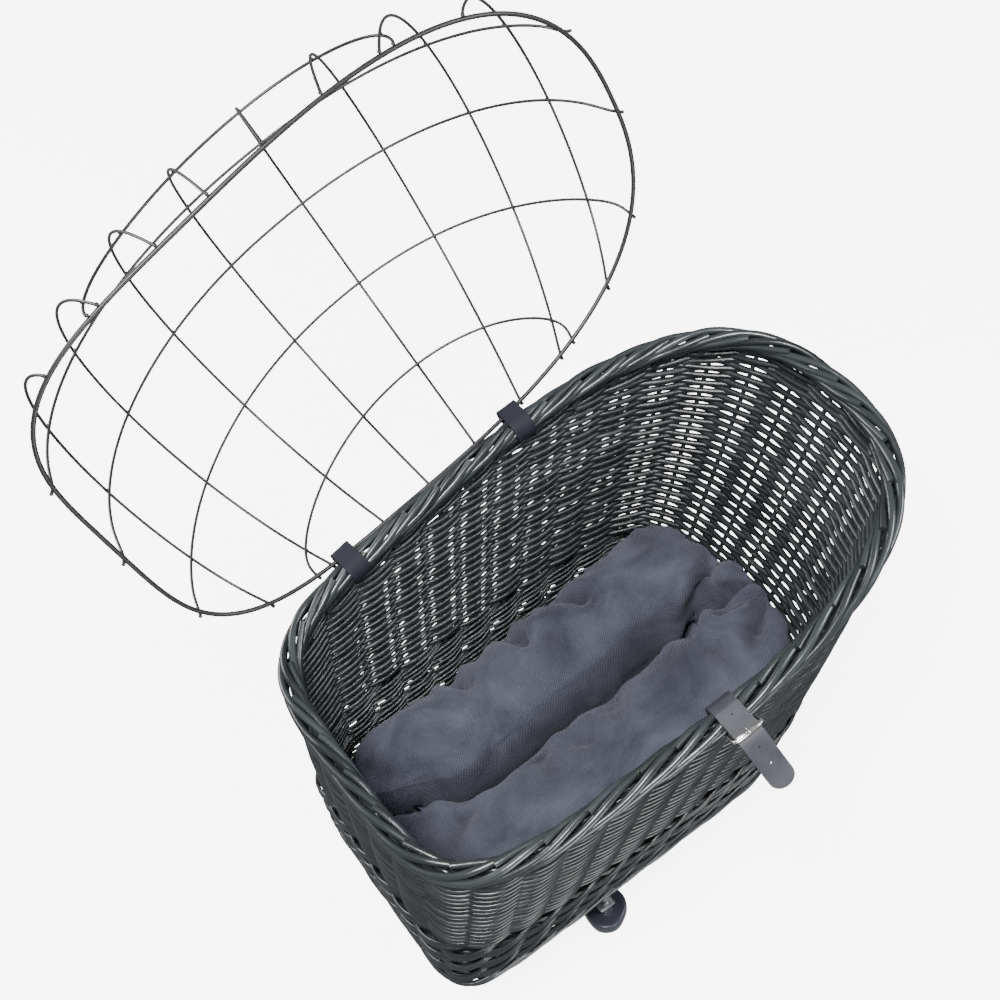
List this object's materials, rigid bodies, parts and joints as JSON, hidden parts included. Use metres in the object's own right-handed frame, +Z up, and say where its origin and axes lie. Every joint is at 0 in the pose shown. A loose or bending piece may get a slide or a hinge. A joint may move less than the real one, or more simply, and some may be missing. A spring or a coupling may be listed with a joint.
{
  "type": "dog bicycle basket",
  "caption": "Woven willow dog basket for a rear bicycle rack, with a hinged wire dome lid, a buckled leather strap, a cushion and a screw clamp.",
  "frame": {"origin": "middle of the rubber pad's underside, where the basket rests on the bicycle's rack", "axes": "+Z up, +X along the basket towards its high round end, +Y towards the lid's hinge side"},
  "size_m": [0.6772, 0.7596, 0.849],
  "materials": {
    "willow_wall": "satin",
    "willow_border": "satin",
    "willow_floor": "satin",
    "lid_wire": "satin",
    "hinge_leather": "matte",
    "strap_leather": "matte",
    "nickel": "polished",
    "cushion_cloth": "ribbed",
    "zinc": "satin",
    "knob_plastic": "satin",
    "pad_rubber": "matte"
  },
  "bodies": {
    "basket": {"wall_weave": "willow_wall", "rim_border": "willow_border", "foot_border": "willow_border", "floor_weave": "willow_floor", "floor_stick_a": "willow_floor", "floor_stick_b": "willow_floor", "floor_stick_c": "willow_floor", "hinge_strap_low": "hinge_leather", "hinge_strap_high": "hinge_leather", "hinge_strap_low_rivet": "nickel", "hinge_strap_high_rivet": "nickel", "closing_strap": "strap_leather", "buckle_tab": "strap_leather", "cushion": "cushion_cloth", "rack_pad": "pad_rubber", "rack_bar": "zinc", "floor_plate": "zinc", "rack_bolt_buckle_side": "zinc", "rack_bolt_hinge_side": "zinc", "rack_nut_buckle_side": "zinc", "rack_nut_hinge_side": "zinc"},
    "lid": {"lid_ring": "lid_wire", "lid_arch_1": "lid_wire", "lid_arch_2": "lid_wire", "lid_arch_3": "lid_wire", "lid_arch_4": "lid_wire", "lid_arch_5": "lid_wire", "lid_arch_6": "lid_wire", "lid_arch_7": "lid_wire", "lid_arch_8": "lid_wire", "lid_long_wire_1": "lid_wire", "lid_long_wire_2": "lid_wire", "lid_long_wire_3": "lid_wire", "lid_long_wire_4": "lid_wire", "lid_long_wire_5": "lid_wire"},
    "buckle": {"buckle_frame": "nickel", "buckle_roller": "nickel"},
    "prong": {"buckle_prong": "nickel"},
    "clamp": {"clamp_bar": "zinc"},
    "knob_buckle_side": {"hand_knob_buckle_side": "knob_plastic"},
    "knob_hinge_side": {"hand_knob_hinge_side": "knob_plastic"}
  },
  "joints": [
    {"name": "lid_hinge", "type": "hinge", "parent": "basket", "child": "lid", "pos_m": [0.05541, 0.19641, 0.31519], "axis": [-0.9869, -0.0553, -0.1513], "range_deg": [-99.5, 20]},
    {"name": "buckle_swing", "type": "hinge", "parent": "basket", "child": "buckle", "pos_m": [0.11208, -0.20518, 0.33005], "axis": [-0.9879, 0.0209, -0.154], "range_deg": [-2, 7]},
    {"name": "prong_swing", "type": "hinge", "parent": "buckle", "child": "prong", "pos_m": [0.11208, -0.20518, 0.33005], "axis": [-0.9879, 0.0209, -0.154], "range_deg": [0, 4]},
    {"name": "clamp_slide", "type": "slide", "parent": "basket", "child": "clamp", "axis": [0, 0, 1], "range_m": [0, 0.045]},
    {"name": "knob_turn_buckle_side", "type": "hinge", "parent": "clamp", "child": "knob_buckle_side", "pos_m": [0, -0.112, -0.1], "axis": [0, 0, 1], "range_deg": [0, 16201]},
    {"name": "knob_turn_hinge_side", "type": "hinge", "parent": "clamp", "child": "knob_hinge_side", "pos_m": [0, 0.112, -0.1], "axis": [0, 0, 1], "range_deg": [0, 16201]}
  ],
  "couplings": [
    {"joint": "knob_turn_buckle_side", "follows": "clamp_slide", "rad_per_m": 6283.2},
    {"joint": "knob_turn_hinge_side", "follows": "clamp_slide", "rad_per_m": 6283.2}
  ]
}
